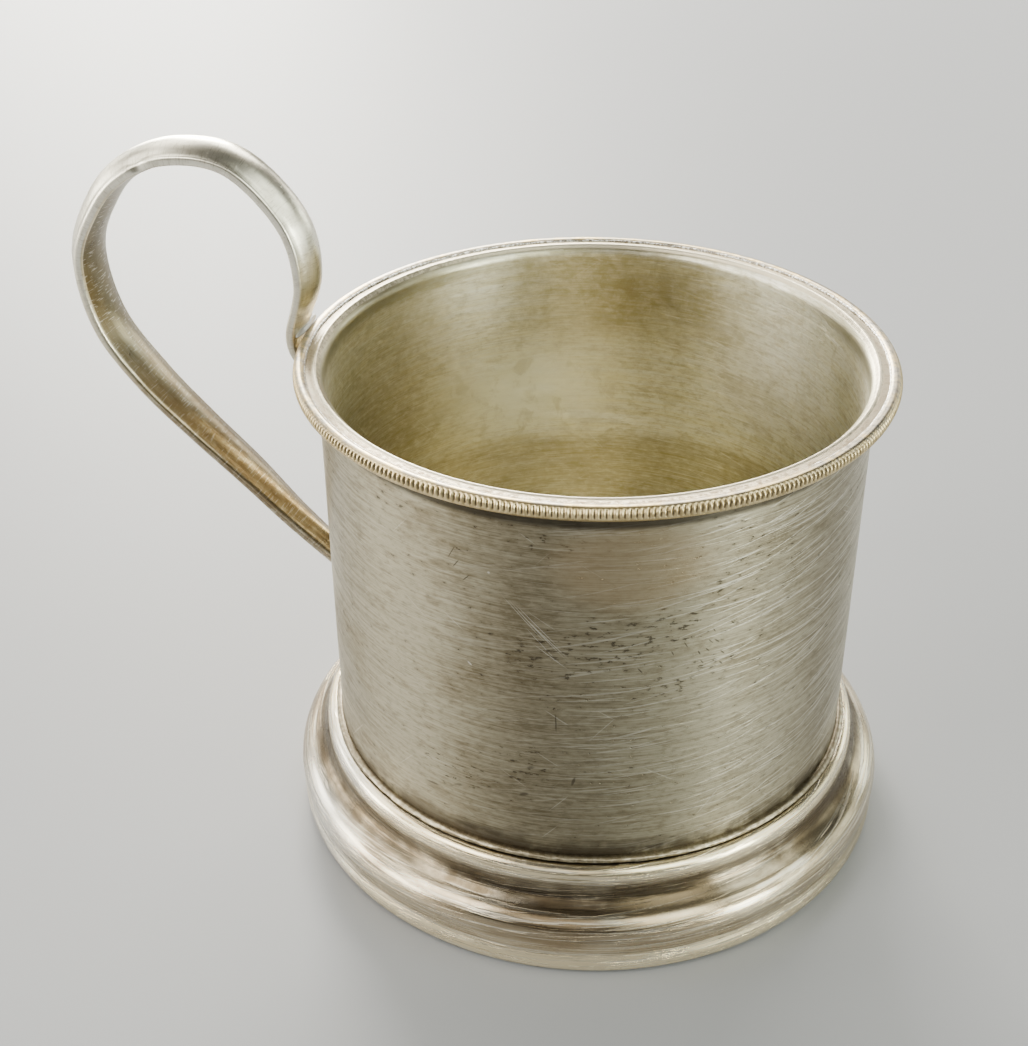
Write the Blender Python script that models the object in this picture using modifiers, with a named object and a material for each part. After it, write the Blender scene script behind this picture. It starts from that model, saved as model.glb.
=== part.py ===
"""A footed metal mug with a milled rim and a high loop handle, built as separate soldered pieces.

The cup's axis is the world's Z axis, the table it stands on is z = 0, and the handle points to -X.
Dimensions are in millimetres.
"""

import math

import bmesh
import bpy
from mathutils import Vector

MM = 0.001
COLLECTION = "footed_mug"
ROUND_STEPS = 80
JOINT_GAP = 0.3

# Cup wall: a straight tube whose mouth turns out into a lip.
WALL_OUTER_R = 35.0
WALL_INNER_R = 34.1
WALL_BOTTOM_Z = 0.5
WALL_FLARE_Z = 64.9
FLARE_ROUND_R = 1.2
LIP_TOP_Z = 67.3
LIP_OUTER_R = 36.4
LIP_INNER_ROUND_R = 1.35

# Milled moulding round the lip.
RIM_CENTRE_R = 37.0
RIM_CENTRE_Z = 66.5
RIM_ROUND_R = 0.95

# Floor: a flat disc let into the bottom of the wall.
FLOOR_TOP_Z = 1.4
FLOOR_THICKNESS = 0.9
FLOOR_EDGE_BEVEL = 0.25

# Foot: a hollow spun ring with a round shoulder and a skirt that curves in, out and ends in a low bead.
FOOT_TOP_Z = 14.1
SHOULDER_R = 37.1
SHOULDER_ROUND_R = 1.4
SKIRT_OUTSIDE = [
    (37.1, 12.7), (37.25, 11.3), (37.8, 10.1), (38.75, 9.25), (39.85, 8.6), (40.75, 7.6), (41.2, 6.3), (41.1, 4.9),
    (40.72, 3.9), (40.8, 3.2), (41.0, 2.4), (41.02, 1.6), (40.75, 0.8), (40.25, 0.2), (39.7, 0.0),
]
SKIRT_INSIDE = [
    (38.9, 0.0), (39.4, 1.2), (40.1, 3.5), (40.3, 5.6), (39.7, 7.2), (38.4, 8.2), (37.0, 9.0), (36.3, 10.4),
    (36.2, 12.2),
]
SKIRT_STEPS = 2
SEAM_LEG = 0.6

# Handle strap: middle line as (distance from the axis, height), then its width, its edge thickness and how far
# its outer face bulges, at even steps on the way.
HANDLE_ROUTE = [
    (33.5, 29.4), (41.9, 37.4), (48.2, 44.1), (54.7, 50.5), (61.0, 57.3), (66.2, 65.2), (67.7, 74.6),
    (64.6, 81.8), (60.1, 86.7), (53.7, 89.4), (45.9, 88.5), (39.4, 81.8), (37.7, 74.3), (39.3, 67.3),
    (38.6, 64.0), (36.6, 62.6), (33.5, 62.2),
]
HANDLE_WIDTHS = [4.0, 6.4, 7.6, 7.6, 7.4, 7.1, 7.6, 7.6, 7.2]
HANDLE_THICKNESSES = [2.5, 2.2, 1.9, 1.7, 1.6, 1.3, 1.2, 1.1, 1.1]
HANDLE_CROWNS = [0.3, 0.3, 0.3, 0.3, 0.4, 0.8, 1.6, 2.1, 1.7, 1.2, 1.2, 1.9, 1.5, 0.4, 0.3, 0.3, 0.3]
STRETCH_STEPS = 4
SECTION_STEPS = 8

# Solder fillets at the handle's two ends: middle as (distance from the axis, height), then half sizes.
UPPER_SOLDER = ((37.75, 68.0), (1.1, 3.0, 1.0))
LOWER_SOLDER = ((35.6, 29.2), (1.9, 2.3, 3.6))

METALS = {
    "wall": ((0.46, 0.43, 0.37), 0.36),
    "rim": ((0.55, 0.52, 0.45), 0.30),
    "floor": ((0.40, 0.37, 0.27), 0.42),
    "foot": ((0.53, 0.49, 0.42), 0.32),
    "handle": ((0.56, 0.52, 0.42), 0.28),
    "solder": ((0.50, 0.49, 0.47), 0.35),
}


def clear_scene():
    for old in list(bpy.data.objects):
        bpy.data.objects.remove(old, do_unlink=True)


def new_collection(name):
    collection = bpy.data.collections.new(name)
    bpy.context.scene.collection.children.link(collection)
    return collection


def new_metal(name, colour, roughness):
    material = bpy.data.materials.new(name)
    material.use_nodes = True
    shader = material.node_tree.nodes["Principled BSDF"]
    shader.inputs["Base Color"].default_value = (*colour, 1.0)
    shader.inputs["Roughness"].default_value = roughness
    shader.inputs["Metallic"].default_value = 1.0
    return material


def new_piece(name, mesh, collection, material=None):
    piece = bpy.data.objects.new(name, mesh)
    collection.objects.link(piece)
    if material:
        mesh.materials.append(material)
        mesh.shade_smooth()
        mesh.set_sharp_from_angle(angle=math.radians(40))
    return piece


def arc(centre_r, centre_z, radius, start_deg, end_deg, steps):
    """Points of a round stretch of a profile, from one angle to the other, both ends included."""
    angles = [math.radians(start_deg + (end_deg - start_deg) * i / steps) for i in range(steps + 1)]
    return [(centre_r + radius * math.cos(a), centre_z + radius * math.sin(a)) for a in angles]


def turned(name, profile, collection, material=None):
    """A (radius, height) outline, running down its outer side, turned round the cup's axis.

    The outline closes on itself unless it both starts and ends on the axis.
    """
    mesh = bpy.data.meshes.new(name)
    points = [(r * MM, 0.0, z * MM) for r, z in profile]
    edges = [(i, i + 1) for i in range(len(points) - 1)]
    if profile[0][0] > 0.0:
        edges.append((len(points) - 1, 0))
    mesh.from_pydata(points, edges, [])
    piece = new_piece(name, mesh, collection, material)
    screw = piece.modifiers.new("turn", "SCREW")
    screw.steps = screw.render_steps = ROUND_STEPS
    screw.use_merge_vertices = True
    screw.merge_threshold = 0.00001
    return piece


def wall_profile():
    lip = [(LIP_OUTER_R - 0.3, LIP_TOP_Z), (LIP_OUTER_R, LIP_TOP_Z - 0.3), (LIP_OUTER_R, LIP_TOP_Z - 1.0)]
    flare = arc(WALL_OUTER_R + FLARE_ROUND_R, WALL_FLARE_Z, FLARE_ROUND_R, 100, 180, 4)
    foot_end = [(WALL_OUTER_R, WALL_BOTTOM_Z), (WALL_INNER_R, WALL_BOTTOM_Z)]
    inner_r = WALL_INNER_R + LIP_INNER_ROUND_R
    inner_flare = arc(inner_r, LIP_TOP_Z - LIP_INNER_ROUND_R, LIP_INNER_ROUND_R, 180, 90, 4)
    return lip + flare + foot_end + inner_flare


def rim_profile(grow=0.0):
    inner_r = LIP_OUTER_R + JOINT_GAP - grow
    radius = RIM_ROUND_R + grow
    half = math.sqrt(radius**2 - (RIM_CENTRE_R - inner_r) ** 2)
    rounded = arc(RIM_CENTRE_R, RIM_CENTRE_Z, radius, 90, -90, 8)
    return [(inner_r, RIM_CENTRE_Z + half)] + rounded + [(inner_r, RIM_CENTRE_Z - half)]


def floor_profile():
    outer_r = WALL_INNER_R - JOINT_GAP
    under_z = FLOOR_TOP_Z - FLOOR_THICKNESS
    bevel = FLOOR_EDGE_BEVEL
    top_edge = [(outer_r - bevel, FLOOR_TOP_Z), (outer_r, FLOOR_TOP_Z - bevel)]
    under_edge = [(outer_r, under_z + bevel), (outer_r - bevel, under_z)]
    return [(0.0, FLOOR_TOP_Z)] + top_edge + under_edge + [(0.0, under_z)]


def foot_profile():
    collar_r = WALL_OUTER_R + JOINT_GAP
    shoulder_r, shoulder_z = SHOULDER_R - SHOULDER_ROUND_R, FOOT_TOP_Z - SHOULDER_ROUND_R
    shoulder = arc(shoulder_r, shoulder_z, SHOULDER_ROUND_R, 90, 0, 4)
    outside = [tuple(place) for place, _, _ in smooth_line(SKIRT_OUTSIDE, SKIRT_STEPS)]
    return [(collar_r, FOOT_TOP_Z)] + shoulder + outside[1:] + SKIRT_INSIDE + [(collar_r, 13.1)]


def seam_profile():
    inner_r = WALL_OUTER_R + JOINT_GAP
    low_z = FOOT_TOP_Z + JOINT_GAP
    return [(inner_r, low_z + SEAM_LEG), (inner_r + SEAM_LEG, low_z), (inner_r, low_z)]


def smooth_line(points, steps):
    """(point, direction, progress from 0 to 1) along a Catmull-Rom curve through the points."""
    points = [Vector(p) for p in points]
    ends = [2 * points[0] - points[1]] + points + [2 * points[-1] - points[-2]]
    line = []
    for i in range(len(points) - 1):
        a, b, c, d = ends[i : i + 4]
        last = i == len(points) - 2
        for k in range(steps + (1 if last else 0)):
            t = k / steps
            where = 0.5 * (2 * b + (c - a) * t + (2 * a - 5 * b + 4 * c - d) * t**2
                           + (3 * b - a - 3 * c + d) * t**3)
            heading = 0.5 * ((c - a) + 2 * (2 * a - 5 * b + 4 * c - d) * t
                             + 3 * (3 * b - a - 3 * c + d) * t**2)
            line.append((where, heading.normalized(), (i + t) / (len(points) - 1)))
    return line


def along(values, progress):
    """The value at this progress, read between evenly spaced values."""
    place = progress * (len(values) - 1)
    i = min(int(place), len(values) - 2)
    return values[i] + (values[i + 1] - values[i]) * (place - i)


def strap_section(progress, grow):
    """Corners of the strap's section as (across, out of the loop): flat inside, crowned outside."""
    thickness = along(HANDLE_THICKNESSES, progress)
    half, flat = along(HANDLE_WIDTHS, progress) / 2 + grow, -thickness / 2 - grow
    top = []
    for i in range(SECTION_STEPS + 1):
        a = 1 - 2 * i / SECTION_STEPS
        top.append((a * half, thickness / 2 + grow + along(HANDLE_CROWNS, progress) * (1 - a * a)))
    return top + [(-half, flat), (half, flat)]


def strap_mesh(name, grow=0.0):
    """The handle strap as a loft of its changing section along its middle line, in the plane y = 0."""
    shape = bmesh.new()
    rings = []
    for (r, z), (dr, dz), progress in smooth_line(HANDLE_ROUTE, STRETCH_STEPS):
        ring = []
        for across, out in strap_section(progress, grow):
            place = Vector((-(r + dz * out), across, z - dr * out)) * MM
            ring.append(shape.verts.new(place))
        rings.append(ring)
    for one, two in zip(rings, rings[1:]):
        for i in range(len(one)):
            j = (i + 1) % len(one)
            shape.faces.new((one[i], one[j], two[j], two[i]))
    shape.faces.new(rings[0])
    shape.faces.new(rings[-1])
    bmesh.ops.recalc_face_normals(shape, faces=shape.faces)
    mesh = bpy.data.meshes.new(name)
    shape.to_mesh(mesh)
    shape.free()
    return mesh


def make_cutter(piece):
    piece.hide_render = True
    piece.display_type = "WIRE"
    return piece


def cut(piece, cutter):
    boolean = piece.modifiers.new("clear_of_" + cutter.name, "BOOLEAN")
    boolean.operation = "DIFFERENCE"
    boolean.solver = "EXACT"
    boolean.object = cutter


def make_solder(name, place, collection, material, cutters):
    """A rounded lump of solder, cut back so that it just clears the pieces it joins."""
    (r, z), half_sizes = place
    shape = bmesh.new()
    bmesh.ops.create_uvsphere(shape, u_segments=16, v_segments=8, radius=1.0)
    for vert in shape.verts:
        vert.co = Vector(
            (vert.co.x * half_sizes[0] - r, vert.co.y * half_sizes[1], vert.co.z * half_sizes[2] + z)
        ) * MM
    mesh = bpy.data.meshes.new(name)
    shape.to_mesh(mesh)
    shape.free()
    piece = new_piece(name, mesh, collection, material)
    for cutter in cutters:
        cut(piece, cutter)
    return piece


def main():
    clear_scene()
    parts = new_collection(COLLECTION)
    helpers = new_collection("cutters")
    metals = {name: new_metal(name, *look) for name, look in METALS.items()}

    turned("cup_wall", wall_profile(), parts, metals["wall"])
    turned("rim_moulding", rim_profile(), parts, metals["rim"])
    turned("floor_disc", floor_profile(), parts, metals["floor"])
    turned("foot_ring", foot_profile(), parts, metals["foot"])
    turned("foot_solder_seam", seam_profile(), parts, metals["solder"])

    clear_r = WALL_OUTER_R + JOINT_GAP
    wall_outline = [(0.0, 80.0), (clear_r, 80.0), (clear_r, 5.0), (0.0, 5.0)]
    wall_space = make_cutter(turned("wall_space", wall_outline, helpers))
    rim_space = make_cutter(turned("rim_space", rim_profile(JOINT_GAP), helpers))
    strap_space = make_cutter(new_piece("strap_space", strap_mesh("strap_space", JOINT_GAP), helpers))

    strap = new_piece("handle_strap", strap_mesh("handle_strap"), parts, metals["handle"])
    cut(strap, wall_space)
    make_solder("upper_handle_solder", UPPER_SOLDER, parts, metals["solder"], [rim_space, strap_space])
    make_solder("lower_handle_solder", LOWER_SOLDER, parts, metals["solder"], [wall_space, strap_space])


main()
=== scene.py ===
"""The looks of the footed mug: fine turned meshes, worn metal, a pale floor, soft lights and the camera.

Round pieces are turned about the cup's axis, which is the world's Z axis, and the handle points to -X.
Lengths are in millimetres until a mesh or a light is made.
"""

import math

import bpy
import numpy as np
from mathutils import Matrix, Vector


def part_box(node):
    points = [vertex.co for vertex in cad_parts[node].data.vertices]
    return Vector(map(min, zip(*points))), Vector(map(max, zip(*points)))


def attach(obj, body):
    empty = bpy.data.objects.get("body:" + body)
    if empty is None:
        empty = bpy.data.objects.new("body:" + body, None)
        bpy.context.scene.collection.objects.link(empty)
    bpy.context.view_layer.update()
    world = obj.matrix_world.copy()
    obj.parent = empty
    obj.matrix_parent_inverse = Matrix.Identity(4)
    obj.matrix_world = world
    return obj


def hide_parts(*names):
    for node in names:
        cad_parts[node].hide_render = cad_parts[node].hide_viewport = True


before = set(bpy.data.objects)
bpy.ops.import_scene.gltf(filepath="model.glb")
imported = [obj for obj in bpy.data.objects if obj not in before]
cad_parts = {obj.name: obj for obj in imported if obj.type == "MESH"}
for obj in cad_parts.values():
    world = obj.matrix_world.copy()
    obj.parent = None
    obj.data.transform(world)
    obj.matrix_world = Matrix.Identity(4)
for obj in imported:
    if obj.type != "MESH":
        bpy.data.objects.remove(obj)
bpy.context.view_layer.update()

MM = 0.001

# Driving sizes of the cup, as in the CAD.
WALL_R = 35.0
BORE_R = 34.1
RIM_TOP_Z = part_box("rim_moulding")[1][2] / MM
RIM_OUTER_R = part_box("rim_moulding")[1][0] / MM
FOOT_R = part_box("foot_ring")[1][0] / MM
FOOT_TOP_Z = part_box("foot_ring")[1][2] / MM
FLOOR_TOP_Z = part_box("floor_disc")[1][2] / MM
WALL_BOTTOM_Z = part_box("cup_wall")[0][2] / MM

ROUND_STEPS = 360
FLOOR_THICKNESS = 0.9

# Turned-out lip: the round of its outer and inner side as radius and centre height, then the flat of the
# mouth, from its inner edge to its turned-down outer edge.
FLARE_ROUND_R = 1.2
FLARE_ROUND_Z = 64.9
LIP_INNER_ROUND_R = 1.35
LIP_INNER_ROUND_Z = 65.75
LIP_OUTLINE = [
    (34.85, 67.08), (35.12, 67.28), (35.5, 67.16), (36.1, 67.1), (36.5, 67.0), (36.55, 66.5), (36.25, 66.1),
]

# Milled teeth of the rim moulding.
TOOTH_COUNT = 364
TOOTH_STEPS = 8
TOOTH_DEPTH = 0.17
RIM_ROUND_R = 0.95
RIM_BACK_R = 36.38

# Thread of solder between the lip and the moulding.
RIM_SOLDER_CENTRE = (36.52, 67.12)
RIM_SOLDER_R = 0.2
RIM_SOLDER_STEPS = 900

# Foot: its round shoulder, the skirt's outline below it, then its hollow back. Outlines and centres are
# (distance from the axis, height).
SHOULDER_CENTRE = (35.7, 12.7)
SHOULDER_ROUND_R = 1.4
FOOT_OGEE = [
    (37.1, 12.7), (37.25, 11.3), (37.8, 10.1), (38.75, 9.25), (39.85, 8.6), (40.75, 7.6), (41.2, 6.3),
    (41.1, 4.9), (40.8, 3.9), (40.85, 3.2), (41.05, 2.4), (41.05, 1.6), (40.8, 0.8), (40.3, 0.2),
    (39.7, 0.0),
]
FOOT_BACK = [
    (38.9, 0.0), (39.4, 1.2), (40.1, 3.5), (40.3, 5.6), (39.7, 7.2), (38.4, 8.2), (37.0, 9.0), (36.3, 10.4),
    (36.2, 12.2),
]

# Fillet of solder between the wall and the foot.
SEAM_OUTLINE = [(34.95, 15.0), (35.35, 15.0), (35.75, 14.8), (35.86, 14.5), (35.6, 14.2)]
SEAM_STEPS = 720

# Handle strap: middle line as (distance from the axis, height), then its width, its edge thickness, how far
# its outer face bulges, its corners' radius as a share of the thickness and how far its inner face bulges,
# each at even steps on the way.
HANDLE_ROUTE = [
    (34.2, 30.1), (41.9, 37.4), (48.2, 44.1), (54.7, 50.5), (61.0, 57.3), (66.2, 65.2), (67.7, 74.6),
    (64.6, 81.8), (60.1, 86.7), (53.7, 89.4), (45.9, 88.5), (39.4, 81.8), (37.7, 74.3), (39.3, 67.3),
    (38.6, 64.0), (36.6, 62.6), (34.4, 62.2),
]
HANDLE_WIDTHS = [4.0, 6.6, 7.9, 7.9, 7.5, 7.1, 7.6, 7.6, 7.2]
HANDLE_THICKNESSES = [2.3, 1.7, 1.4, 1.35, 1.4, 1.3, 1.2, 1.1, 1.1]
HANDLE_CROWNS = [0.4, 0.4, 0.5, 0.5, 0.6, 0.9, 1.4, 1.75, 1.5, 1.18, 1.25, 1.7, 1.35, 0.4, 0.3, 0.3, 0.3]
HANDLE_ROUNDS = [0.5, 0.5, 0.5, 0.46, 0.36, 0.3, 0.3, 0.3, 0.35]
HANDLE_BELLIES = [0.5, 0.6, 0.7, 0.55, 0.3, 0.1, 0.0, 0.0, 0.0]
STRETCH_STEPS = 14
CROWN_STEPS = 18
BELLY_STEPS = 14
CORNER_STEPS = 5

# A small dent in the strap's near edge: its middle, its reach and its depth.
NICK_PLACE = (-57.5, -3.5, 88.4)
NICK_REACH = 0.8
NICK_DEPTH = 0.35

# Solder at the handle's two ends: middle as (distance from the axis, height), then half sizes along X, Y, Z.
UPPER_SOLDER = ((38.3, 67.25), (0.6, 3.5, 0.42))
LOWER_SOLDER = ((35.4, 29.2), (1.2, 2.0, 2.6))


# ---------------------------------------------------------------- shapes


def arc(centre_r, centre_z, radius, start_deg, end_deg, steps):
    """Points of a round stretch of a profile, from one angle to the other, both ends included."""
    angles = [math.radians(start_deg + (end_deg - start_deg) * i / steps) for i in range(steps + 1)]
    return [(centre_r + radius * math.cos(a), centre_z + radius * math.sin(a)) for a in angles]


def catmull_rom(points, steps):
    """(point, direction, progress from 0 to 1) along a smooth curve through the points."""
    points = [np.array(p, float) for p in points]
    ends = [2 * points[0] - points[1]] + points + [2 * points[-1] - points[-2]]
    line = []
    for i in range(len(points) - 1):
        a, b, c, d = ends[i : i + 4]
        square, cube = 2 * a - 5 * b + 4 * c - d, 3 * b - a - 3 * c + d
        last = i == len(points) - 2
        for k in range(steps + (1 if last else 0)):
            t = k / steps
            where = 0.5 * (2 * b + (c - a) * t + square * t**2 + cube * t**3)
            heading = 0.5 * ((c - a) + 2 * square * t + 3 * cube * t**2)
            line.append((where, heading / np.linalg.norm(heading), (i + t) / (len(points) - 1)))
    return line


def smooth_outline(points, steps):
    return [tuple(where) for where, _, _ in catmull_rom(points, steps)]


def along(values, progress):
    """The value at this progress, read between evenly spaced values."""
    place = progress * (len(values) - 1)
    i = min(int(place), len(values) - 2)
    return values[i] + (values[i + 1] - values[i]) * (place - i)


def eased(values, progress):
    """As along(), but averaged over its surroundings, so that the value changes without kinks."""
    reach = 0.6 / (len(values) - 1)
    spread = [along(values, min(max(progress + reach * k / 3, 0.0), 1.0)) for k in range(-3, 4)]
    return sum(spread) / len(spread)


def ripple(angle, seed, waves=5):
    """A slow random wave round the cup, about -1 to 1, that closes on itself."""
    picks = np.random.default_rng(seed)
    total = np.zeros_like(np.asarray(angle, float))
    for n in range(1, waves + 1):
        total += picks.normal() * np.sin(n * angle + picks.uniform(0, 2 * math.pi)) / n
    return total / 1.5


def mesh_object(name, verts_mm, faces, nodes=(), materials=(), face_materials=None):
    """A shaded mesh that rides with the object and stands for the named CAD nodes."""
    mesh = bpy.data.meshes.new(name)
    mesh.from_pydata([tuple(v) for v in np.asarray(verts_mm) * MM], [], faces)
    for material in materials:
        mesh.materials.append(material)
    if face_materials is not None:
        mesh.polygons.foreach_set("material_index", face_materials)
    mesh.shade_smooth()
    mesh.update()
    piece = bpy.data.objects.new(name, mesh)
    bpy.context.scene.collection.objects.link(piece)
    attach(piece, "root")
    if nodes:
        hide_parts(*nodes)
    return piece


def turned_grid(profile, steps, shape=None):
    """(steps, points, 3) array: a closed outline, running down its outer side, turned round the axis.

    shape(angle, r, z) may return changed r and z arrays.
    """
    angle = np.linspace(0, 2 * math.pi, steps, endpoint=False)[:, None]
    outline = np.array(profile, float)
    r = np.repeat(outline[None, :, 0], steps, axis=0)
    z = np.repeat(outline[None, :, 1], steps, axis=0)
    if shape:
        r, z = shape(angle, r, z)
    return np.stack([r * np.cos(angle), r * np.sin(angle), z], axis=-1)


def turned_faces(steps, count):
    faces = []
    for i in range(steps):
        j = (i + 1) % steps
        for k in range(count):
            m = (k + 1) % count
            faces.append((i * count + k, i * count + m, j * count + m, j * count + k))
    return faces


def turned(name, profile, steps, nodes, materials, shape=None):
    grid = turned_grid(profile, steps, shape)
    return mesh_object(name, grid.reshape(-1, 3), turned_faces(steps, len(profile)), nodes, materials)


# ---------------------------------------------------------------- materials


class Graph:
    """Shader nodes of one material, added by short calls."""

    def __init__(self, name):
        self.material = bpy.data.materials.new(name)
        self.material.use_nodes = True
        self.tree = self.material.node_tree
        self.shader = self.tree.nodes["Principled BSDF"]

    def node(self, kind, values=None, **settings):
        made = self.tree.nodes.new(kind)
        for key, value in settings.items():
            setattr(made, key, value)
        for key, value in (values or {}).items():
            self.feed(made.inputs[key], value)
        return made

    def feed(self, socket, value):
        if isinstance(value, bpy.types.NodeSocket):
            self.tree.links.new(value, socket)
        else:
            socket.default_value = value

    def math(self, operation, a, b=0.0, c=0.0, clamp=False):
        made = self.node("ShaderNodeMath", {0: a, 1: b, 2: c}, operation=operation, use_clamp=clamp)
        return made.outputs[0]

    def add(self, a, b):
        return self.math("ADD", a, b)

    def times(self, a, b):
        return self.math("MULTIPLY", a, b)

    def vector(self, x, y, z):
        return self.node("ShaderNodeCombineXYZ", {0: x, 1: y, 2: z}).outputs[0]

    def noise(self, where, detail=2.0, rough=0.5, distortion=0.0):
        values = {"Vector": where, "Scale": 1.0, "Detail": detail}
        values.update({"Roughness": rough, "Distortion": distortion})
        return self.node("ShaderNodeTexNoise", values).outputs["Fac"]

    def steps(self, value, low, high, from_low=0.0, from_high=1.0):
        """from_low below low, from_high above high, with a smooth passage between."""
        values = {"Value": value, "From Min": low, "From Max": high}
        values.update({"To Min": from_low, "To Max": from_high})
        return self.node("ShaderNodeMapRange", values, interpolation_type="SMOOTHSTEP").outputs["Result"]

    def mix(self, share, a, b):
        made = self.node("ShaderNodeMix", data_type="RGBA")
        for index, value in ((0, share), (6, a), (7, b)):
            self.feed(made.inputs[index], value)
        return made.outputs[2]

    def band(self, value, middle, width):
        """1 at the middle, falling smoothly to 0 at width away from it."""
        away = self.math("ABSOLUTE", self.math("SUBTRACT", value, middle))
        return self.steps(away, 0.0, width, 1.0, 0.0)


class CupGraph(Graph):
    """A material that knows where it is on the cup, in millimetres: x, y, z, radius and length round."""

    def __init__(self, name):
        super().__init__(name)
        where = self.node("ShaderNodeTexCoord").outputs["Object"]
        split = self.node("ShaderNodeSeparateXYZ", {0: where})
        self.x = self.times(split.outputs[0], 1 / MM)
        self.y = self.times(split.outputs[1], 1 / MM)
        self.z = self.times(split.outputs[2], 1 / MM)
        squares = self.add(self.math("POWER", self.x, 2.0), self.math("POWER", self.y, 2.0))
        self.r = self.math("SQRT", squares)
        self.angle = self.math("ARCTAN2", self.y, self.x)
        self.degrees = self.times(self.angle, 180 / math.pi)
        self.round = self.times(self.angle, WALL_R)
        self.down = self.math("MULTIPLY_ADD", self.r, 0.8, self.z)

    def spots(self, per_mm, detail=4.0, rough=0.6, seed=0.0, distortion=0.0):
        where = self.vector(
            self.times(self.x, per_mm),
            self.times(self.y, per_mm),
            self.math("MULTIPLY_ADD", self.z, per_mm, seed),
        )
        return self.noise(where, detail, rough, distortion)

    def turning(self, per_mm_round, per_mm_down, seed=0.0, detail=2.0, rough=0.55):
        """Streaks that run round the cup."""
        where = self.vector(
            self.times(self.x, per_mm_round),
            self.times(self.y, per_mm_round),
            self.math("MULTIPLY_ADD", self.down, per_mm_down, seed),
        )
        return self.noise(where, detail, rough)

    def strokes(self, tilt_deg, per_mm_long, per_mm_across, seed=0.0, detail=1.0):
        """Straight scratches on the unrolled wall, tilted from the horizontal."""
        tilt = math.radians(tilt_deg)
        long = self.add(self.times(self.round, math.cos(tilt)), self.times(self.z, math.sin(tilt)))
        across = self.add(self.times(self.round, -math.sin(tilt)), self.times(self.z, math.cos(tilt)))
        where = self.vector(self.times(long, per_mm_long), self.times(across, per_mm_across), seed)
        return self.noise(where, detail, 0.5)

    def mark(self, azimuth, height, length, tilt, width):
        """1 on a slim ellipse on the unrolled wall, 0 off it."""
        where = self.vector(self.round, self.z, 0.0)
        settings = {
            "Vector": where,
            "Location": (math.radians(azimuth) * WALL_R, height, 0.0),
            "Rotation": (0.0, 0.0, math.radians(tilt)),
            "Scale": (length / 2, width / 2, 1.0),
        }
        placed = self.node("ShaderNodeMapping", settings, vector_type="TEXTURE").outputs[0]
        away = self.node("ShaderNodeVectorMath", {0: placed}, operation="LENGTH").outputs["Value"]
        return self.steps(away, 1.0, 0.45)

    def sides(self):
        """1 on the left and right of the mouth, 0 across its front and back."""
        return self.math("MAXIMUM", self.steps(self.x, -14.0, -29.0), self.steps(self.x, 20.0, 33.0))

    def marks(self, places):
        total = self.mark(*places[0])
        for place in places[1:]:
            total = self.math("MAXIMUM", total, self.mark(*place))
        return total


def finish_metal(graph, colour, roughness, height, bump_mm, anisotropic=0.0):
    """Puts colour, roughness and a height in 0..1 on the shader of a bare metal."""
    shader = graph.shader
    graph.feed(shader.inputs["Base Color"], colour)
    graph.feed(shader.inputs["Roughness"], roughness)
    shader.inputs["Metallic"].default_value = 1.0
    shader.inputs["Anisotropic"].default_value = anisotropic
    if anisotropic:
        shader.inputs["Anisotropic Rotation"].default_value = 0.25
        tangent = graph.node("ShaderNodeTangent", direction_type="RADIAL", axis="Z")
        graph.feed(shader.inputs["Tangent"], tangent.outputs[0])
    bump = graph.node("ShaderNodeBump", {"Strength": 1.0, "Distance": bump_mm * MM, "Height": height})
    graph.feed(shader.inputs["Normal"], bump.outputs[0])
    return graph.material


# Marks on the outside of the wall: azimuth in degrees, height, length, tilt in degrees, width.
NICKS = [
    (-64.0, 45.6, 0.9, -63, 0.22), (-61.4, 46.5, 1.2, -61, 0.20), (-58.6, 45.0, 0.9, -63, 0.24),
    (-56.9, 45.2, 1.0, -48, 0.22), (-56.3, 46.3, 1.2, -48, 0.18), (-55.0, 46.2, 1.2, -41, 0.26),
    (-53.6, 44.3, 1.1, -48, 0.24), (-53.8, 42.8, 0.9, -47, 0.26), (-51.8, 48.2, 0.8, -46, 0.24),
    (-55.7, 47.8, 0.8, -58, 0.18), (-70.2, 43.6, 1.2, -52, 0.24), (-57.9, 43.6, 0.9, -53, 0.18),
    (-106.9, 57.3, 2.5, 62, 0.16), (-106.0, 55.9, 1.8, 55, 0.20), (-103.9, 54.3, 1.6, 47, 0.20),
]
STAINS = [
    (-82.5, 26.9, 1.8, 75, 0.5), (-92.5, 23.9, 1.6, 23, 0.7), (-107.3, 22.4, 3.0, 29, 0.6),
    (-113.6, 21.0, 2.6, 5, 0.4), (-86.1, 35.7, 3.4, -88, 0.25), (-65.4, 15.9, 3.6, 4, 0.7),
    (-62.3, 16.9, 2.2, 8, 0.5), (-102.2, 16.4, 9.0, 0, 1.6), (-91.0, 28.4, 1.4, 15, 0.6),
]
SCRATCH_BUNDLE = [
    (-89.8, 48.9, 11.5, -48, 0.11), (-89.6, 49.4, 9.3, -46, 0.09), (-88.3, 48.1, 8.9, -45, 0.12),
    (-92.2, 50.1, 9.7, -48, 0.07), (-87.2, 45.4, 6.0, -38, 0.11), (-88.8, 46.9, 7.2, -49, 0.08),
    (-103.6, 42.2, 0.9, -38, 0.35), (-99.2, 55.8, 0.4, 0, 0.35),
]
PITTED = [(-73.0, 48.0, 26.0, 8, 9.0), (-62.0, 41.5, 12.0, 20, 6.0), (-86.0, 45.0, 14.0, -10, 9.0)]
PITTED += [(-108.0, 25.0, 13.0, -15, 7.0), (-92.0, 29.0, 11.0, 10, 8.0), (-85.0, 61.0, 20.0, 0, 3.0)]


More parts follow.
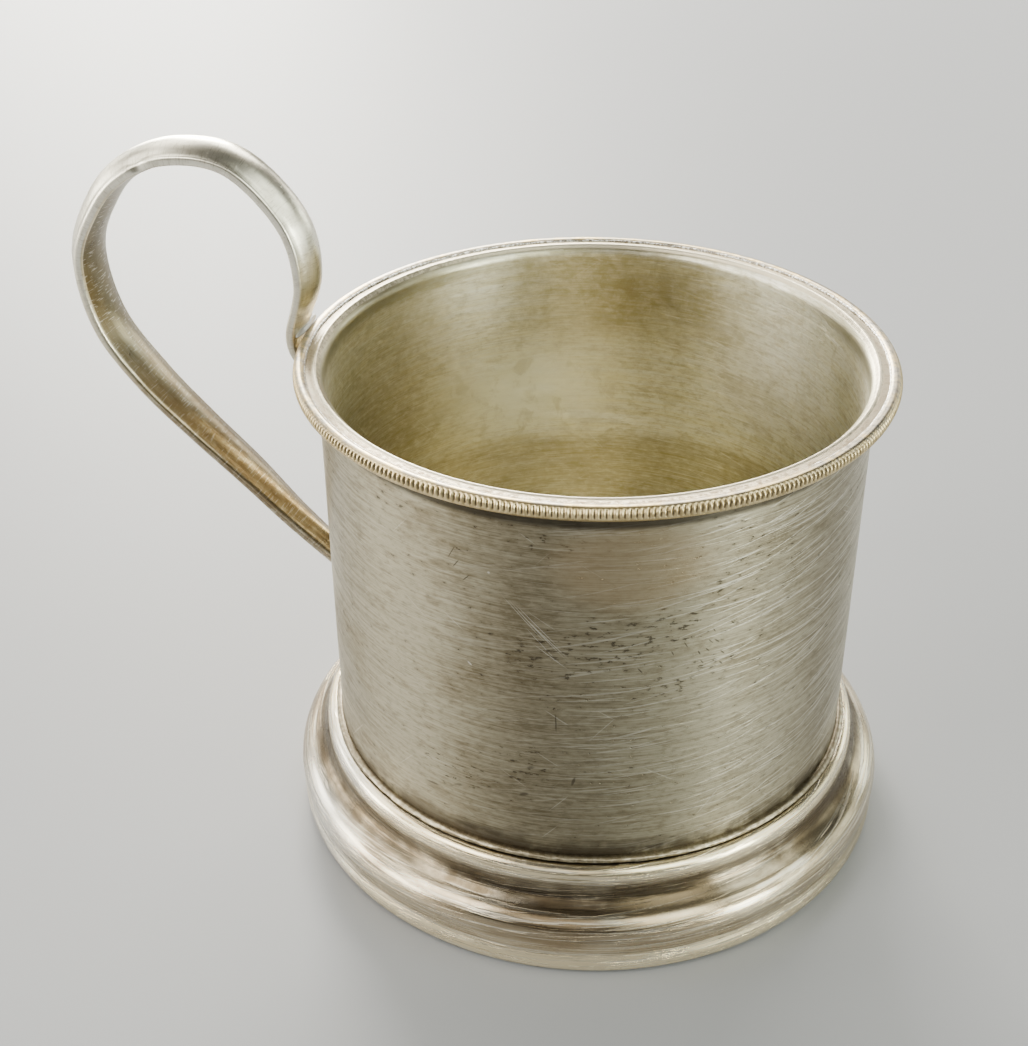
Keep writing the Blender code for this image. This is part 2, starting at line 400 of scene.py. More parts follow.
def wall_metal(
    name, tones, seed, roughness, bright_rough, zones, light_lines, pit_level, is_front_marked=False
):
    """Old plate that has been rubbed round and round, stained in clouds and specked with pits.

    zones(graph, wander) gives three masks: painted highlight, painted shade, and scored with light
    scratches.
    bright_rough is the change of roughness under the painted highlight, and light_lines how strong the
    scratches are where the wall is not scored.
    """
    g = CupGraph(name)
    base, pale, dark, stain = [(*tone, 1.0) for tone in tones]
    clouds = g.spots(0.055, 5.0, 0.55, seed, 0.6)
    smears = g.turning(0.17, 0.55, seed + 7.0, 5.0, 0.7)
    grain = g.turning(0.05, 2.6, seed + 3.0, 5.0, 0.75)
    fine = g.turning(0.13, 6.5, seed + 5.0, 3.0, 0.7)
    tarnish = g.steps(g.add(clouds, g.times(g.add(smears, -0.5), 0.5)), 0.44, 0.68)
    painted_highlight, painted_shade, scored = zones(g, g.add(clouds, -0.5))
    colour = g.mix(g.steps(grain, 0.38, 0.62), base, pale)
    # Painted highlight paled in and painted shade stained in, from the zone masks.
    colour = g.mix(g.times(painted_highlight, 0.75), colour, pale)
    colour = g.mix(g.times(painted_shade, 0.60), colour, stain)
    colour = g.mix(g.times(g.steps(fine, 0.48, 0.64), 0.28), colour, pale)
    colour = g.mix(g.times(g.steps(fine, 0.50, 0.36), 0.30), colour, dark)
    colour = g.mix(g.times(tarnish, 0.42), colour, dark)
    colour = g.mix(g.times(g.steps(smears, 0.50, 0.68), 0.40), colour, stain)

    lines = g.steps(g.turning(0.06, 3.6, seed + 11.0, 2.0), 0.61, 0.68)
    slants = g.steps(g.strokes(7.0, 0.06, 3.2, seed + 1.0), 0.62, 0.69)
    steep = g.steps(g.strokes(14.0, 0.07, 3.0, seed + 6.0), 0.66, 0.72)
    falls = g.steps(g.strokes(-34.0, 0.09, 2.8, seed + 2.0), 0.73, 0.77)
    rises = g.steps(g.strokes(48.0, 0.08, 2.4, seed + 4.0), 0.75, 0.79)
    round_about = g.math("MAXIMUM", lines, g.math("MAXIMUM", slants, steep))
    round_about = g.times(round_about, g.math("MULTIPLY_ADD", scored, 0.75, light_lines))
    scratches = g.math("ADD", round_about, g.times(g.math("MAXIMUM", falls, rises), 0.6), clamp=True)
    colour = g.mix(g.times(scratches, 0.5), colour, (0.90, 0.86, 0.74, 1.0))

    specks = g.noise(g.vector(g.times(g.round, 0.75), g.times(g.z, 1.7), seed), 4.0, 0.6)
    colour = g.mix(g.times(g.steps(specks, 0.50, 0.64), 0.30), colour, dark)
    colour = g.mix(g.times(g.steps(specks, 0.48, 0.36), 0.22), colour, pale)
    specks = g.add(specks, g.times(tarnish, 0.05))
    pits = g.steps(specks, pit_level, pit_level + 0.05)
    height = g.add(g.times(fine, 0.40), g.times(grain, 0.42))
    height = g.add(height, g.times(specks, 0.35))
    height = g.math("SUBTRACT", height, g.times(scratches, 0.25))
    height = g.math("SUBTRACT", height, g.times(pits, 0.7))
    height = g.add(height, g.times(smears, 0.4))

    rough = g.add(roughness - 0.08, g.times(smears, 0.16))
    rough = g.add(rough, g.times(tarnish, 0.08))
    rough = g.add(rough, g.times(painted_highlight, bright_rough))
    if is_front_marked:
        pits = g.steps(g.add(specks, g.times(g.marks(PITTED), 0.065)), pit_level, pit_level + 0.05)
        pits = g.math("MAXIMUM", pits, g.marks(NICKS))
        stains = g.times(g.marks(STAINS), g.steps(smears, 0.38, 0.55))
        pits = g.math("MAXIMUM", pits, g.times(stains, 0.8))
        colour = g.mix(g.times(g.marks(SCRATCH_BUNDLE), 0.5), colour, (0.92, 0.89, 0.80, 1.0))
    colour = g.mix(g.times(pits, 0.75), colour, (0.05, 0.04, 0.03, 1.0))
    return g, colour, rough, height


def outside_zones(g, wander):
    # Bright bands are painted highlights and dull bands painted shade, set round the cup by azimuth; scored
    # marks real light scratches.
    turn = g.math("MULTIPLY_ADD", wander, 30.0, g.degrees)
    low = g.times(g.band(turn, -38.0, 15.0), g.steps(g.z, 44.0, 26.0))
    painted_highlight = g.math("MAXIMUM", g.band(turn, -121.0, 17.0), g.band(turn, -57.0, 20.0))
    painted_highlight = g.math("MAXIMUM", painted_highlight, low)
    painted_shade = g.math("MAXIMUM", g.band(turn, -92.0, 24.0), g.times(g.band(turn, -24.0, 18.0), 0.8))
    scored = g.steps(g.degrees, -100.0, -60.0)
    return painted_highlight, painted_shade, scored


def outside_metal():
    tones = ((0.325, 0.282, 0.188), (0.52, 0.475, 0.345), (0.135, 0.108, 0.062), (0.165, 0.133, 0.08))
    g, colour, rough, height = wall_metal(
        "wall outside", tones, 2.0, 0.36, 0.0, outside_zones, 0.22, 0.655, is_front_marked=True
    )
    tarnish = g.steps(g.spots(0.22, 4.0, 0.6, 31.0), 0.30, 0.55)
    foot_edge = g.times(g.band(g.z, FOOT_TOP_Z + 0.6, 4.6), tarnish)
    colour = g.mix(g.times(foot_edge, 0.85), colour, (0.08, 0.062, 0.04, 1.0))
    warm = g.times(g.mark(-72.0, 58.0, 24.0, 0.0, 16.0), 0.5)
    colour = g.mix(warm, colour, (0.44, 0.33, 0.19, 1.0))
    # Painted shadow: near-black band on the wall just under the lip and rim.
    under_lip_shadow = g.steps(g.z, 62.7, 63.5)
    colour = g.mix(g.times(under_lip_shadow, 0.85), colour, (0.05, 0.042, 0.03, 1.0))
    return finish_metal(g, colour, rough, height, 0.045, 0.7)


def inside_zones(g, wander):
    # Painted light inside: the bright patches are painted highlights and the arc line a painted reflection;
    # the low band, the left and the band under the far lip are painted shade.
    height = g.math("MULTIPLY_ADD", wander, 7.0, g.z)
    turn = g.math("MULTIPLY_ADD", wander, 25.0, g.degrees)
    centre = g.times(g.band(turn, 120.0, 24.0), g.band(height, 44.0, 10.0))
    right = g.times(g.band(turn, 50.0, 34.0), g.band(height, 54.0, 22.0))
    sloped = g.math("MULTIPLY_ADD", turn, -0.06, g.z)
    arc_line = g.times(g.band(sloped, 33.8, 1.6), g.band(turn, 112.0, 46.0))
    painted_highlight = g.math("MAXIMUM", g.math("MAXIMUM", centre, right), g.times(arc_line, 0.8))
    low = g.steps(height, 38.5, 35.5)
    left = g.times(g.steps(g.x, -19.0, -31.0), g.steps(g.y, -8.0, 2.0, 0.0, 0.8))
    under_lip_shadow = g.times(g.band(turn, 96.0, 38.0), g.band(height, 59.0, 14.0))
    painted_shade = g.math("MAXIMUM", low, g.math("MAXIMUM", left, under_lip_shadow))
    scored = g.steps(g.degrees, 96.0, 74.0)
    return painted_highlight, painted_shade, scored


def inside_metal():
    tones = ((0.90, 0.85, 0.62), (1.0, 0.985, 0.86), (0.38, 0.32, 0.16), (0.36, 0.30, 0.15))
    g, colour, rough, height = wall_metal("wall inside", tones, 19.0, 0.34, 0.14, inside_zones, 0.3, 0.72)
    # Painted highlight: a pale patch on the far wall.
    painted_sheen = g.times(g.band(g.degrees, 118.0, 36.0), g.band(g.z, 45.0, 11.0))
    colour = g.mix(g.times(painted_sheen, 0.9), colour, (1.0, 0.99, 0.80, 1.0))
    rough = g.add(rough, g.times(painted_sheen, -0.08))
    # Painted shade on the far wall under the lip, broken by clouds.
    shade = g.times(g.band(g.degrees, 92.0, 44.0), g.band(g.z, 61.0, 12.0))
    clouds = g.spots(0.35, 5.0, 0.65, 23.0, 0.5)
    colour = g.mix(g.times(shade, g.steps(clouds, 0.38, 0.62, 0.3, 0.75)), colour, (0.31, 0.26, 0.13, 1.0))
    colour = g.mix(g.steps(clouds, 0.52, 0.66, 0.0, 0.30), colour, (0.40, 0.35, 0.19, 1.0))
    flare = g.times(g.sides(), g.steps(g.z, 63.5, 65.5))
    colour = g.mix(g.times(flare, 0.8), colour, (0.24, 0.215, 0.13, 1.0))
    return finish_metal(g, colour, rough, height, 0.04, 0.6)


def lip_metal():
    """The flat of the mouth: a painted highlight along its inner edge, rough and brown beyond it, less brown
    at the back.
    """
    g = CupGraph("lip")
    dirt = g.spots(1.6, 5.0, 0.7, 5.0)
    painted_highlight = g.band(g.r, 35.12, 0.42)
    fading_to_back = g.steps(g.y, 8.0, 26.0, 1.0, 0.25)
    sides = g.sides()
    # Painted highlight along the inner edge, weaker at the sides of the mouth.
    painted_edge_highlight = g.times(painted_highlight, g.math("MULTIPLY_ADD", sides, -0.85, 0.9))
    painted_edge_highlight = g.math("MAXIMUM", painted_edge_highlight, g.times(g.band(g.r, 35.28, 0.16), 0.8))
    grime_and_shade = g.times(g.steps(g.r, 35.35, 35.75), g.steps(dirt, 0.38, 0.60, 0.2, 0.95))
    colour = g.mix(g.times(grime_and_shade, fading_to_back), (0.78, 0.69, 0.50, 1.0), (0.22, 0.165, 0.105, 1.0))
    colour = g.mix(g.times(sides, g.steps(dirt, 0.35, 0.62, 0.85, 0.35)), colour, (0.16, 0.14, 0.105, 1.0))
    colour = g.mix(painted_edge_highlight, colour, (0.90, 0.83, 0.66, 1.0))
    rough = g.add(0.28, g.times(dirt, 0.2))
    return finish_metal(g, colour, rough, dirt, 0.05)


def foot_metal():
    """Polished by handling, with long circular scratches, brown left in the hollows, and painted highlights
    and shade.
    """
    g = CupGraph("foot")
    grain = g.turning(0.06, 2.2, 40.0, 5.0, 0.72)
    fine = g.turning(0.14, 6.5, 44.0, 3.0, 0.7)
    clouds = g.spots(0.10, 5.0, 0.6, 47.0, 0.4)
    brown = (0.27, 0.19, 0.11, 1.0)
    colour = g.mix(g.steps(grain, 0.38, 0.62), (0.60, 0.50, 0.34, 1.0), (0.90, 0.80, 0.60, 1.0))
    colour = g.mix(g.times(g.steps(fine, 0.50, 0.36), 0.5), colour, (0.36, 0.28, 0.18, 1.0))
    colour = g.mix(g.times(g.steps(clouds, 0.44, 0.62), 0.45), colour, (0.46, 0.35, 0.21, 1.0))

    # Painted shade: brown on the skirt's face, strongest at the front and by the handle.
    edge = g.math("MULTIPLY_ADD", clouds, 2.5, g.z)
    face = g.times(g.steps(edge, 5.2, 7.2), g.steps(g.z, 9.9, 9.2))
    skirt_shade_bands = g.math("MAXIMUM", g.band(g.degrees, -82.0, 34.0), g.band(g.degrees, -172.0, 26.0))
    colour = g.mix(g.times(face, g.math("MULTIPLY_ADD", skirt_shade_bands, 0.56, 0.10)), colour, brown)
    # Painted shade: a brown line in the slight waist above the bead.
    waist = g.band(g.z, 3.9, 0.55)
    colour = g.mix(g.times(waist, 0.28), colour, brown)
    # Pale bead and shoulder top: wear, with a painted highlight on them.
    wear_and_highlight = g.times(g.steps(g.z, 3.6, 3.0), g.steps(g.z, 0.3, 1.0))
    wear_and_highlight = g.math("MAXIMUM", wear_and_highlight, g.steps(g.z, 12.1, 12.9))
    colour = g.mix(g.times(wear_and_highlight, 0.97), colour, (1.0, 0.86, 0.58, 1.0))

    # Painted shade: darker on the right side of the foot, below the shoulder.
    right = g.times(g.band(g.degrees, -12.0, 38.0), g.steps(g.z, 12.4, 11.6))
    colour = g.mix(g.times(right, 0.6), colour, (0.40, 0.33, 0.21, 1.0))

    # Painted highlight: a near-white gleam on the left of the foot, off the cove.
    off_cove = g.math("MAXIMUM", g.steps(g.z, 11.8, 12.8), g.steps(g.z, 9.6, 8.6))
    painted_gleam = g.times(g.band(g.degrees, -143.0, 24.0), off_cove)
    colour = g.mix(g.times(painted_gleam, 0.75), colour, (1.0, 0.985, 0.93, 1.0))

    lines = g.steps(g.turning(0.06, 6.5, 51.0, 2.0), 0.56, 0.63)
    slants = g.steps(g.strokes(3.0, 0.06, 5.0, 53.0), 0.60, 0.66)
    scratches = g.math("MAXIMUM", lines, slants)
    colour = g.mix(g.times(scratches, 0.6), colour, (0.96, 0.90, 0.76, 1.0))
    cuts = g.steps(g.turning(0.05, 6.8, 57.0, 2.0), 0.59, 0.66)
    colour = g.mix(g.times(cuts, 0.6), colour, (0.12, 0.09, 0.05, 1.0))

    # Near-black in the cove: brown patina with painted shade.
    cove = g.times(g.steps(g.z, 12.5, 11.3), g.steps(g.z, 8.4, 9.6))
    colour = g.mix(g.times(cove, g.steps(clouds, 0.3, 0.6, 0.62, 0.94)), colour, (0.085, 0.062, 0.036, 1.0))
    # Painted shadow in the joint where the foot's top meets the wall.
    top = g.times(g.steps(g.z, FOOT_TOP_Z - 0.25, FOOT_TOP_Z), g.steps(g.r, 36.2, 35.6))
    colour = g.mix(g.times(top, 0.8), colour, (0.07, 0.055, 0.04, 1.0))
    # Painted shadow along the bottom edge where the foot rests.
    rest = g.steps(g.z, 0.7, 0.1)
    colour = g.mix(g.times(rest, 0.7), colour, (0.10, 0.08, 0.055, 1.0))
    rough = g.add(g.add(0.14, g.times(clouds, 0.12)), g.times(grain, 0.12))
    height = g.add(g.times(grain, 0.6), g.times(fine, 0.45))
    height = g.math("SUBTRACT", height, g.times(g.math("MAXIMUM", scratches, cuts), 0.40))
    return finish_metal(g, colour, rough, height, 0.035, 0.5)


def rim_metal():
    """Bright teeth, darkened between them by dirt and painted shade: a mesh attribute says how deep a point
    lies.
    """
    g = CupGraph("rim")
    grime_and_shade = g.node("ShaderNodeAttribute", attribute_name="grime_and_shade").outputs["Fac"]
    dirt = g.spots(1.2, 5.0, 0.65, 61.0)
    colour = g.mix(g.steps(dirt, 0.42, 0.68), (0.80, 0.64, 0.35, 1.0), (0.50, 0.38, 0.19, 1.0))
    patches = g.steps(g.spots(0.5, 3.0, 0.5, 63.0), 0.4, 0.6)
    blue = g.times(g.steps(g.z, RIM_TOP_Z - 0.18, RIM_TOP_Z - 0.02), patches)
    colour = g.mix(g.times(blue, 0.55), colour, (0.34, 0.35, 0.38, 1.0))
    sides = g.times(g.sides(), g.steps(g.z, RIM_TOP_Z - 0.7, RIM_TOP_Z - 0.2))
    colour = g.mix(g.times(sides, g.steps(dirt, 0.38, 0.60, 0.85, 0.2)), colour, (0.14, 0.135, 0.13, 1.0))
    # Dirt and painted shade darken the valleys between the teeth.
    colour = g.mix(grime_and_shade, colour, (0.07, 0.052, 0.034, 1.0))
    rough = g.add(0.24, g.times(dirt, 0.16))
    return finish_metal(g, colour, rough, dirt, 0.012)


def solder_metal():
    g = CupGraph("solder")
    lumps = g.spots(2.2, 4.0, 0.6, 71.0)
    colour = g.mix(g.steps(lumps, 0.42, 0.6), (0.25, 0.22, 0.18, 1.0), (0.78, 0.77, 0.74, 1.0))
    rough = g.add(0.20, g.times(lumps, 0.25))
    return finish_metal(g, colour, rough, lumps, 0.12)


def seam_metal():
    g = CupGraph("foot_seam")
    lumps = g.spots(1.5, 4.0, 0.6, 75.0)
    colour = g.mix(g.steps(lumps, 0.35, 0.6), (0.50, 0.44, 0.32, 1.0), (0.30, 0.25, 0.17, 1.0))
    # Painted shade along the seam's lower edge, where it tucks under.
    low = g.steps(g.z, 14.55, 14.35)
    colour = g.mix(g.times(low, 0.9), colour, (0.06, 0.05, 0.04, 1.0))
    # Painted shade along its upper edge, against the wall.
    high = g.steps(g.z, 14.9, 15.05)
    colour = g.mix(g.times(high, 0.7), colour, (0.09, 0.075, 0.055, 1.0))
    rough = g.add(0.26, g.times(lumps, 0.2))
    return finish_metal(g, colour, rough, lumps, 0.05)


def floor_disc_metal():
    g = CupGraph("floor_disc")
    clouds = g.spots(0.08, 6.0, 0.6, 81.0, 0.5)
    turning = g.noise(g.vector(g.times(g.r, 3.2), g.times(g.angle, 0.5), 4.0), 3.0, 0.6)
    colour = g.mix(g.steps(clouds, 0.38, 0.66), (0.90, 0.87, 0.68, 1.0), (0.68, 0.63, 0.43, 1.0))
    colour = g.mix(g.times(g.steps(turning, 0.5, 0.66), 0.4), colour, (0.80, 0.77, 0.62, 1.0))
    # Painted shade in the corner where the floor meets the wall.
    edge = g.steps(g.r, 31.5, 33.6)
    colour = g.mix(g.times(edge, 0.6), colour, (0.16, 0.14, 0.09, 1.0))
    rough = g.add(0.30, g.times(clouds, 0.2))
    return finish_metal(g, colour, rough, g.add(g.times(turning, 0.6), g.times(clouds, 0.4)), 0.02)


def handle_metal():
    """Strap polished, with a painted highlight, high on its outer face; brown where not rubbed; short
    scratches across it.
    """
    g = CupGraph("handle")
    uv = g.node("ShaderNodeUVMap", uv_map="strap").outputs[0]
    split = g.node("ShaderNodeSeparateXYZ", {0: uv})
    length, girth = split.outputs[0], split.outputs[1]
    inner = g.node("ShaderNodeAttribute", attribute_name="inner_face").outputs["Fac"]
    clouds = g.spots(0.16, 5.0, 0.6, 91.0, 0.4)
    mottle = g.spots(0.7, 5.0, 0.65, 93.0)
    grain = g.noise(g.vector(g.times(length, 0.25), g.times(girth, 3.4), 3.0), 3.0, 0.65)
    across = g.noise(g.vector(g.times(length, 5.0), g.times(girth, 0.5), 9.0), 2.0, 0.6)
    colour = g.mix(g.steps(grain, 0.38, 0.62), (0.66, 0.57, 0.38, 1.0), (0.84, 0.77, 0.58, 1.0))
    # Upper outer face: wear, with a painted highlight paled in.
    wear_and_highlight = g.times(g.steps(g.z, 56.0, 80.0), g.math("SUBTRACT", 1.0, inner))
    stained = g.times(g.steps(clouds, 0.42, 0.60), g.math("MULTIPLY_ADD", wear_and_highlight, -0.5, 0.6))
    colour = g.mix(stained, colour, (0.44, 0.33, 0.18, 1.0))
    colour = g.mix(g.times(wear_and_highlight, 0.7), colour, (1.0, 0.975, 0.86, 1.0))
    colour = g.mix(g.times(g.steps(mottle, 0.48, 0.64), 0.22), colour, (0.30, 0.24, 0.15, 1.0))
    low = g.times(g.steps(g.z, 62.0, 48.0), g.steps(mottle, 0.34, 0.58, 0.40, 0.70))
    colour = g.mix(low, colour, (0.22, 0.145, 0.07, 1.0))
    shaded = g.times(inner, g.steps(g.add(clouds, g.times(mottle, 0.3)), 0.45, 0.75, 0.98, 0.82))
    open_face = g.steps(g.z, 56.0, 68.0, 0.3, 1.0)
    colour = g.mix(g.times(shaded, open_face), colour, (0.125, 0.10, 0.052, 1.0))
    hairs = g.steps(across, 0.57, 0.68)
    colour = g.mix(g.times(hairs, 0.5), colour, (0.88, 0.83, 0.70, 1.0))
    colour = g.mix(g.times(g.steps(across, 0.44, 0.34), 0.35), colour, (0.34, 0.29, 0.18, 1.0))
    rough = g.add(g.add(0.19, g.times(clouds, 0.12)), g.times(mottle, 0.10))
    height = g.add(g.times(grain, 0.18), g.times(mottle, 0.35))
    height = g.math("SUBTRACT", height, g.times(hairs, 0.3))
    return finish_metal(g, colour, rough, height, 0.022)


def floor_paint():
    g = Graph("studio_floor")
    where = g.node("ShaderNodeTexCoord").outputs["Object"]
    cloud = g.node("ShaderNodeTexNoise", {"Vector": where, "Scale": 3.0, "Detail": 2.0}).outputs["Fac"]
    colour = g.mix(cloud, (0.275, 0.282, 0.305, 1.0), (0.300, 0.308, 0.333, 1.0))
    g.feed(g.shader.inputs["Base Color"], colour)
    g.shader.inputs["Roughness"].default_value = 0.55
    return g.material


# ---------------------------------------------------------------- pieces


def make_wall():
    """The cup's wall with its turned-out lip, slightly out of true as hand-worked metal is."""
    lip = smooth_outline(LIP_OUTLINE, 5)
    flare = arc(WALL_R + FLARE_ROUND_R, FLARE_ROUND_Z, FLARE_ROUND_R, 95, 180, 10)
    outer_z = np.linspace(63.5, 15.0, 45)
    outer = [(WALL_R, z) for z in outer_z] + [(WALL_R, WALL_BOTTOM_Z), (BORE_R, WALL_BOTTOM_Z)]
    inner = [(BORE_R, z) for z in np.linspace(2.0, 64.4, 45)]
    inner_flare = arc(BORE_R + LIP_INNER_ROUND_R, LIP_INNER_ROUND_Z, LIP_INNER_ROUND_R, 180, 122, 8)
    profile = lip + flare + outer + inner + inner_flare

    def dents(angle, r, z):
        free = np.clip((z - 16.0) / 8.0, 0, 1) * np.clip((64.0 - z) / 8.0, 0, 1)
        wave = ripple(angle, 4) * 0.05 + ripple(angle + z * 0.02, 9, 9) * 0.03
        return r + wave * free, z

    def side(r, z):
        if z > 66.75 or (r > 34.7 and z > 66.3):
            return "lip"
        return "inside" if r < 34.95 else "outside"

    order = ["outside", "inside", "lip"]
    materials = [outside_metal(), inside_metal(), lip_metal()]
    grid = turned_grid(profile, ROUND_STEPS, dents)
    ring = [order.index(side(*point)) for point in profile]
    faces = turned_faces(ROUND_STEPS, len(profile))
    mesh_object("mug_wall", grid.reshape(-1, 3), faces, ["cup_wall"], materials, ring * ROUND_STEPS)


def make_rim():
    """Half-round moulding whose outer and upper side is milled into teeth, with a plain lower edge."""
    centre_z = RIM_TOP_Z - RIM_ROUND_R
    centre_r = RIM_OUTER_R - RIM_ROUND_R
    rounded = arc(centre_r, centre_z, RIM_ROUND_R, 118, -92, 30)
    back = [(36.5, centre_z - 0.88), (RIM_BACK_R, centre_z - 0.5), (RIM_BACK_R, centre_z + 0.6)]
    profile = rounded + back
    steps = TOOTH_COUNT * TOOTH_STEPS
    depth_map = {}

    def teeth(angle, r, z):
        slope = np.degrees(np.arctan2(z - centre_z, r - centre_r))
        upper = 57.0 + 5.0 * ripple(angle, 21)
        lower = -22.0 + 7.0 * ripple(angle, 22)
        milled = np.clip((upper - slope) / 16.0, 0, 1) * np.clip((slope - lower) / 12.0, 0, 1)
        milled *= (r > centre_r - 0.2)
        lean = 0.10 * np.sin(3 * angle + 1.0)
        phase = TOOTH_COUNT * (angle + lean * (z - centre_z) * 0.02)
        valley = (0.5 - 0.5 * np.cos(phase)) ** 1.6
        cut = milled * valley * TOOTH_DEPTH * (1.0 + 0.2 * ripple(angle, 24, 40))
        # How deep a point lies in a tooth valley, darkened there with dirt and painted shade.
        depth_map["grime_and_shade"] = milled * np.clip(valley * 1.15 - 0.12, 0, 1) ** 1.3
        away = np.hypot(r - centre_r, z - centre_z)
        scale = (away - cut) / np.maximum(away, 1e-6)
        return centre_r + (r - centre_r) * scale, centre_z + (z - centre_z) * scale

    grid = turned_grid(profile, steps, teeth)
    faces = turned_faces(steps, len(profile))
    piece = mesh_object("milled_rim", grid.reshape(-1, 3), faces, ["rim_moulding"], [rim_metal()])
    grime_and_shade = piece.data.attributes.new("grime_and_shade", "FLOAT", "POINT")
    grime_and_shade.data.foreach_set("value", depth_map["grime_and_shade"].reshape(-1).astype(np.float32))


def make_rim_solder():
    """The uneven thread of solder between the lip and the moulding."""
    picks = np.random.default_rng(33)
    middle_r, middle_z = RIM_SOLDER_CENTRE
    profile = arc(middle_r, middle_z, RIM_SOLDER_R, 180, -180, 9)[:-1]
    lumps = picks.normal(0, 1, (RIM_SOLDER_STEPS, len(profile)))
    lumps = (lumps + np.roll(lumps, 1, 0) + np.roll(lumps, -1, 0)) / 3

    def bumpy(angle, r, z):
        size = 1.0 + 0.22 * lumps + 0.2 * ripple(angle, 35, 30)
        return middle_r + (r - middle_r) * size, np.minimum(middle_z + (z - middle_z) * size, RIM_TOP_Z)

    turned("rim_solder", profile, RIM_SOLDER_STEPS, [], [solder_metal()], bumpy)


def make_foot():
    """The spun foot: a round shoulder, a skirt that curves in and out again, and its hollow back."""
    shoulder = arc(*SHOULDER_CENTRE, SHOULDER_ROUND_R, 90, 0, 12)
    skirt = smooth_outline(FOOT_OGEE, 5)[1:]
    back = smooth_outline(FOOT_BACK, 4)
    profile = [(WALL_R, FOOT_TOP_Z - 0.1)] + shoulder + skirt + back + [(WALL_R, 13.0)]

    def wobble(angle, r, z):
        low = np.clip((12.0 - z) / 6.0, 0, 1) * np.clip(z / 2.0, 0, 1)
        return np.minimum(r + 0.05 * ripple(angle, 51) * low - 0.03 * low, FOOT_R), z

    turned("foot", profile, ROUND_STEPS, ["foot_ring"], [foot_metal()], wobble)


def make_foot_seam():
    """The narrow fillet of solder in the corner between the wall and the foot."""
    profile = smooth_outline(SEAM_OUTLINE, 3) + [(SEAM_OUTLINE[0][0], 14.1)]
    picks = np.random.default_rng(61)
    lumps = picks.normal(0, 1, (SEAM_STEPS, len(profile)))
    lumps = (lumps + np.roll(lumps, 1, 0) + np.roll(lumps, -1, 0) + np.roll(lumps, 2, 0)) / 4

    def bumpy(angle, r, z):
        return r + np.clip(r - 35.1, 0, 1) * (0.10 * lumps + 0.12 * ripple(angle, 62, 24)), z

    turned("foot_seam", profile, SEAM_STEPS, ["foot_solder_seam"], [seam_metal()], bumpy)


def make_floor_disc():
    outer_r = BORE_R - 0.02
    top = [(r, FLOOR_TOP_Z) for r in (0.01, 0.03, 0.1, 0.5, *np.linspace(2.0, 33.0, 14))]
    fillet = arc(33.3, FLOOR_TOP_Z + 0.75, 0.75, -80, -12, 6)
    under_z = FLOOR_TOP_Z - FLOOR_THICKNESS
    under = [(r, under_z) for r in (outer_r, 33.8, 0.1, 0.01)]
    profile = top + fillet + [(outer_r, FLOOR_TOP_Z + 0.5)] + under
    turned("cup_floor", profile, 180, ["floor_disc"], [floor_disc_metal()])


def strap_section(progress):
    """Section as (across, out of the loop, is it the inner face): crowned outside, round-cornered."""
    width, thickness = along(HANDLE_WIDTHS, progress), along(HANDLE_THICKNESSES, progress)
    corner = along(HANDLE_ROUNDS, progress) * thickness
    belly, crown = along(HANDLE_BELLIES, progress), eased(HANDLE_CROWNS, progress)
    half, out, inn = width / 2, thickness / 2, -thickness / 2
    flat = half - corner
    section = []
    for i in range(CROWN_STEPS + 1):
        a = 1 - 2 * i / CROWN_STEPS
        section.append((a * flat, out + crown * (1 - a * a), 0.0))
    for centre, start in (((-flat, out - corner), 90), ((-flat, inn + corner), 180)):
        for i in range(0 if start == 180 else 1, CORNER_STEPS + 1):
            a = math.radians(start + 90 * i / CORNER_STEPS)
            place = (centre[0] + corner * math.cos(a), centre[1] + corner * math.sin(a))
            section.append((*place, 1.0 if start == 180 and i == CORNER_STEPS else 0.0))
    for i in range(1, BELLY_STEPS):
        a = 2 * i / BELLY_STEPS - 1
        section.append((a * flat, inn - belly * (1 - a * a), 1.0))
    for centre, start in (((flat, inn + corner), 270), ((flat, out - corner), 0)):
        for i in range(CORNER_STEPS + 1 if start == 270 else CORNER_STEPS):
            a = math.radians(start + 90 * i / CORNER_STEPS)
            place = (centre[0] + corner * math.cos(a), centre[1] + corner * math.sin(a))
            section.append((*place, 1.0 if start == 270 and i == 0 else 0.0))
    return section


def make_handle():
    """The strap handle: narrow and thick where it leaves the wall, wide and thin over the loop."""
    verts, uvs, inner = [], [], []
    length = 0.0
    before = None
    for (r, z), (dr, dz), progress in catmull_rom(HANDLE_ROUTE, STRETCH_STEPS):
        if before is not None:
            length += math.hypot(r - before[0], z - before[1])
        before = (r, z)
        girth = 0.0
        last = None
        for across, out, is_inner in strap_section(progress):
            if last:
                girth += math.hypot(across - last[0], out - last[1])
            last = (across, out)
            verts.append((-(r + dz * out), across, z - dr * out))
            uvs.append((length, girth))
            inner.append(is_inner)
    count = len(strap_section(0.0))
    rings = len(verts) // count
    faces = [tuple(range(count))]
    for i in range(rings - 1):
        for k in range(count):
            m = (k + 1) % count
            faces.append((i * count + k, (i + 1) * count + k, (i + 1) * count + m, i * count + m))
    faces.append(tuple((rings - 1) * count + k for k in reversed(range(count))))
    verts = nicked(np.array(verts))
    piece = mesh_object("loop_handle", verts, faces, ["handle_strap"], [handle_metal()])
    layer = piece.data.uv_layers.new(name="strap")
    for loop in piece.data.loops:
        layer.data[loop.index].uv = uvs[loop.vertex_index]
    face = piece.data.attributes.new("inner_face", "FLOAT", "POINT")
    face.data.foreach_set("value", inner)


def nicked(verts):
    """A small dent in the near edge of the strap, at the top of the loop."""
    away = np.linalg.norm(verts - np.array(NICK_PLACE), axis=1)
    push = np.exp(-((away / NICK_REACH) ** 2)) * NICK_DEPTH
    verts[:, 1] += push
    verts[:, 2] -= push * 0.6
    return verts


